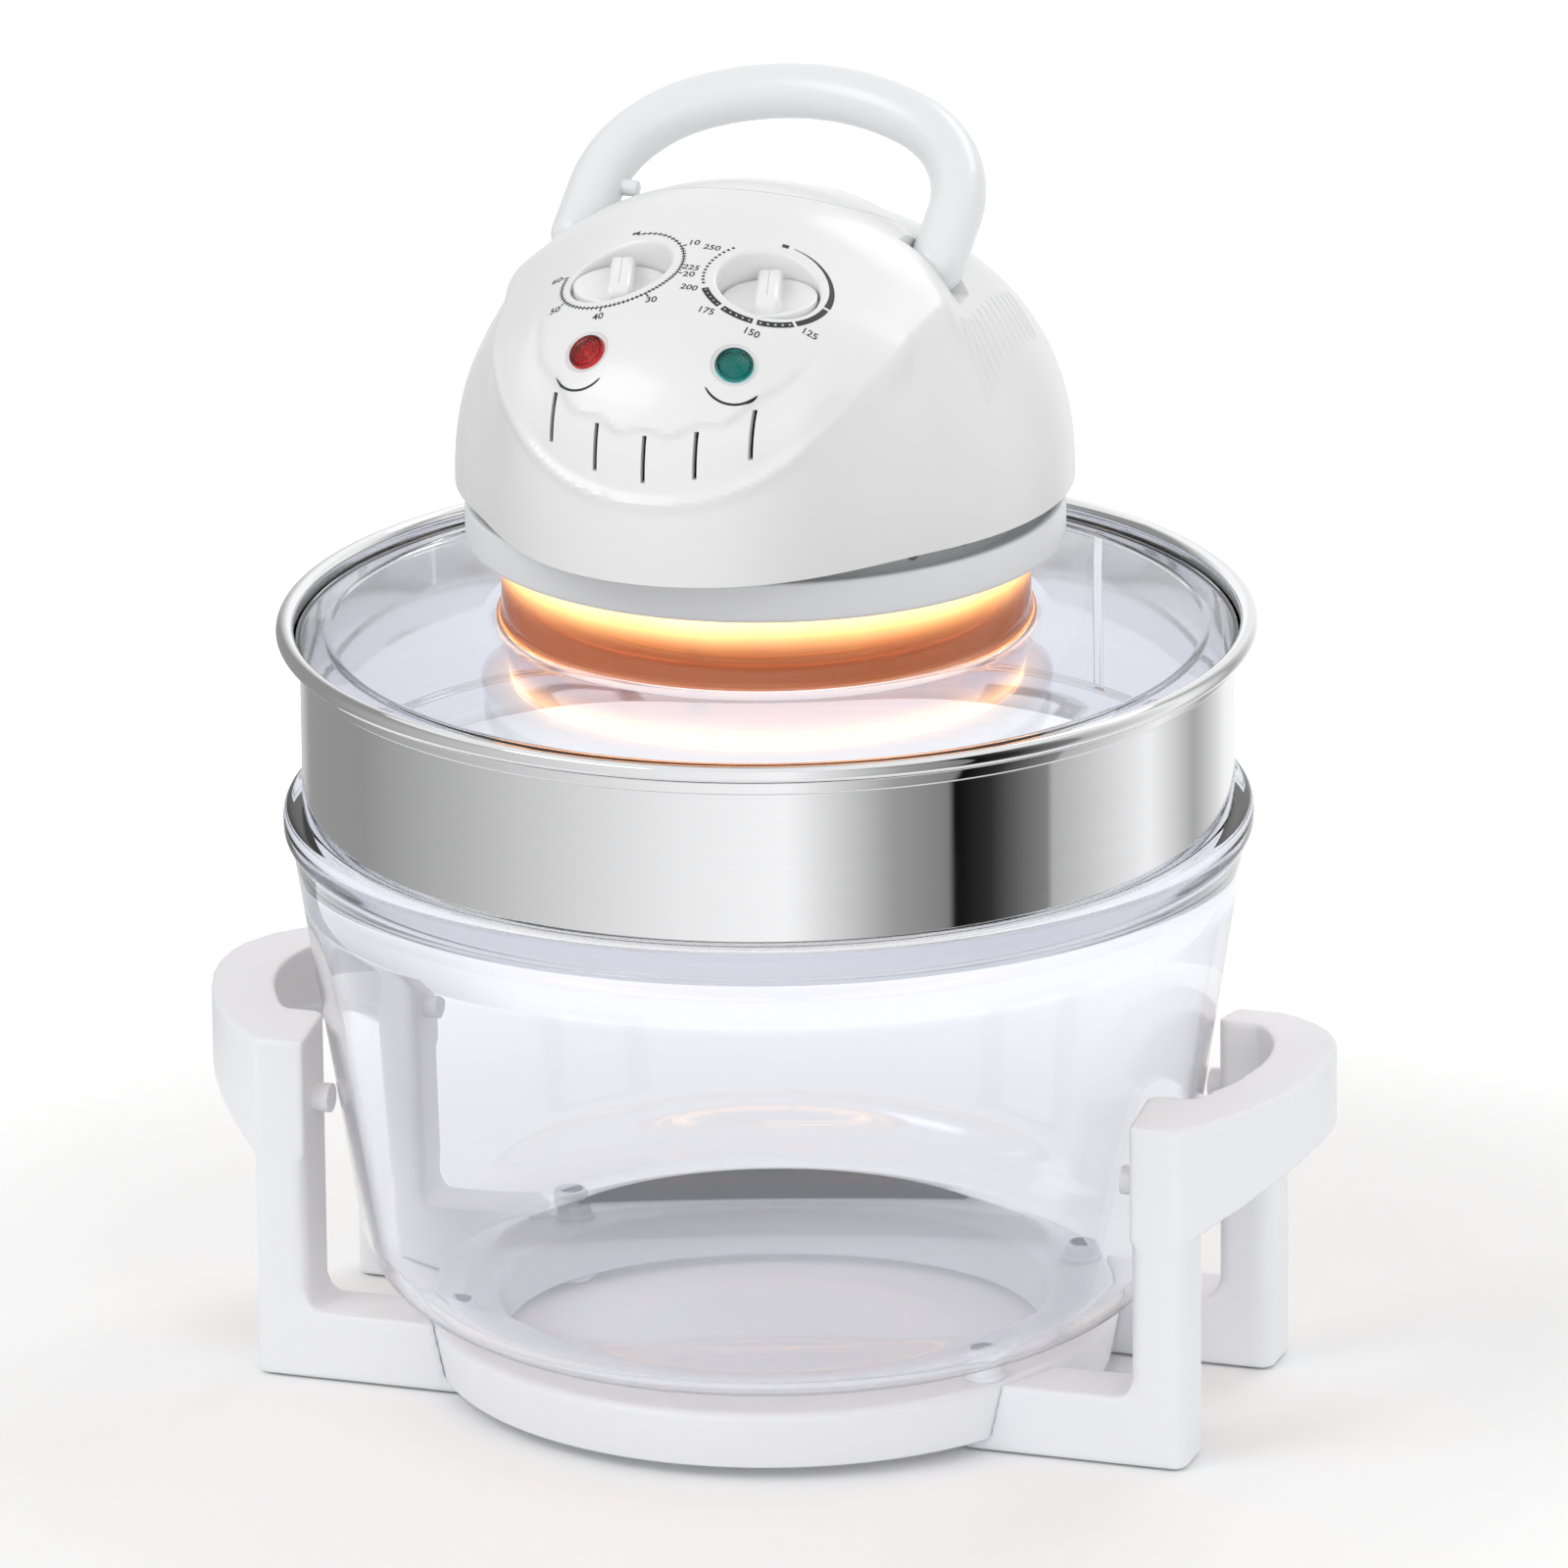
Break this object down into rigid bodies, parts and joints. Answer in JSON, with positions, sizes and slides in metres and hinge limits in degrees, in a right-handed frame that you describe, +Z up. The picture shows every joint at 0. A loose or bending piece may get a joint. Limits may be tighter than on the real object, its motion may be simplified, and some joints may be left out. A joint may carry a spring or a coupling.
{
  "type": "halogen oven",
  "caption": "Countertop halogen oven: glass bowl in a white two-handled stand, steel extender ring, glass lid with a domed heater and fan head, dials and a folding handle.",
  "frame": {"origin": "on the table, under the middle of the bowl", "axes": "+Z up; the control panel faces -Y; the carrying arches of the stand are at +X and -X"},
  "size_m": [0.3924, 0.3293, 0.4432],
  "materials": {
    "white_plastic": "glossy moulded white",
    "knob_plastic": "glossy moulded white, a little greyer",
    "foot_rubber": "soft grey",
    "clear_glass": "clear, heat resistant",
    "stainless": "polished stainless sheet",
    "plated_steel": "bright plated",
    "laminated_steel": "dark electrical steel",
    "fan_metal": "plain sheet",
    "fan_plastic": "moulded light grey",
    "insulation": "pressed mineral sheet",
    "ceramic_white": "unglazed",
    "quartz": "glowing quartz tube",
    "winding": "varnished winding with tape",
    "unit_plastic": "dark moulding",
    "plunger_plastic": "red moulding",
    "red_lens": "transparent red",
    "teal_lens": "transparent blue-green",
    "gland_rubber": "black"
  },
  "bodies": {
    "stand": {"base_ring": "white_plastic", "side_frame_left": "white_plastic", "side_frame_right": "white_plastic", "bowl_rest_pegs": "white_plastic", "side_bumpers": "white_plastic", "foot_pads": "foot_rubber", "stand_screws": "plated_steel"},
    "bowl": {"glass_bowl": "clear_glass"},
    "extender": {"extender_ring": "stainless"},
    "lid": {"glass_lid": "clear_glass", "lid_collar": "white_plastic", "motor_deck": "plated_steel", "front_housing": "white_plastic", "rear_cover": "white_plastic", "reflector_pan": "stainless", "heat_shield": "insulation", "deck_pillars": "plated_steel", "heater_tube": "quartz", "heater_end_caps": "ceramic_white", "heater_clips": "plated_steel", "fan_guard": "plated_steel", "guard_posts": "plated_steel", "motor_stator": "laminated_steel", "motor_coil": "winding", "lower_bearing_bracket": "plated_steel", "upper_bearing_bracket": "plated_steel", "motor_screws": "plated_steel", "timer_unit": "unit_plastic", "thermostat_unit": "unit_plastic", "thermostat_bulb": "plated_steel", "power_lamp_lens": "red_lens", "heat_lamp_lens": "teal_lens", "lamp_holders": "ceramic_white", "micro_switch": "unit_plastic", "terminal_block": "ceramic_white", "cord_gland": "gland_rubber", "handle_pins": "plated_steel", "housing_screws": "plated_steel"},
    "handle": {"handle": "white_plastic"},
    "timer_dial": {"timer_shaft": "plated_steel", "timer_knob": "knob_plastic"},
    "thermostat_dial": {"thermostat_shaft": "plated_steel", "thermostat_knob": "knob_plastic"},
    "fan_rotor": {"motor_shaft": "plated_steel", "motor_rotor": "laminated_steel", "cooling_fan": "fan_plastic", "convection_fan": "fan_metal"},
    "plunger": {"switch_plunger": "plunger_plastic"}
  },
  "joints": [
    {"name": "bowl_lift", "type": "slide", "parent": "stand", "child": "bowl", "axis": [0, 0, 1], "range_m": [0, 0.2]},
    {"name": "extender_lift", "type": "slide", "parent": "bowl", "child": "extender", "axis": [0, 0, 1], "range_m": [0, 0.12]},
    {"name": "lid_lift", "type": "slide", "parent": "extender", "child": "lid", "axis": [0, 0, 1], "range_m": [0, 0.15]},
    {"name": "handle_pivot", "type": "hinge", "parent": "lid", "child": "handle", "pos_m": [0, -0.006, 0.3967], "axis": [1, 0, 0], "range_deg": [0, 59]},
    {"name": "timer_turn", "type": "hinge", "parent": "lid", "child": "timer_dial", "pos_m": [-0.0256, -0.0712, 0.4068], "axis": [0, 0.1045, -0.9945], "range_deg": [0, 300]},
    {"name": "thermostat_turn", "type": "hinge", "parent": "lid", "child": "thermostat_dial", "pos_m": [0.0256, -0.0712, 0.4068], "axis": [0, 0.1045, -0.9945], "range_deg": [0, 300]},
    {"name": "fan_spin", "type": "hinge", "parent": "lid", "child": "fan_rotor", "pos_m": [0, 0, 0.33], "axis": [0, 0, 1], "continuous": true},
    {"name": "plunger_slide", "type": "slide", "parent": "lid", "child": "plunger", "axis": [0, 0, 1], "range_m": [0, 0.0026]}
  ],
  "couplings": [
    {"joint": "plunger_slide", "follows": "handle_pivot", "m_per_rad": 0.002427}
  ]
}
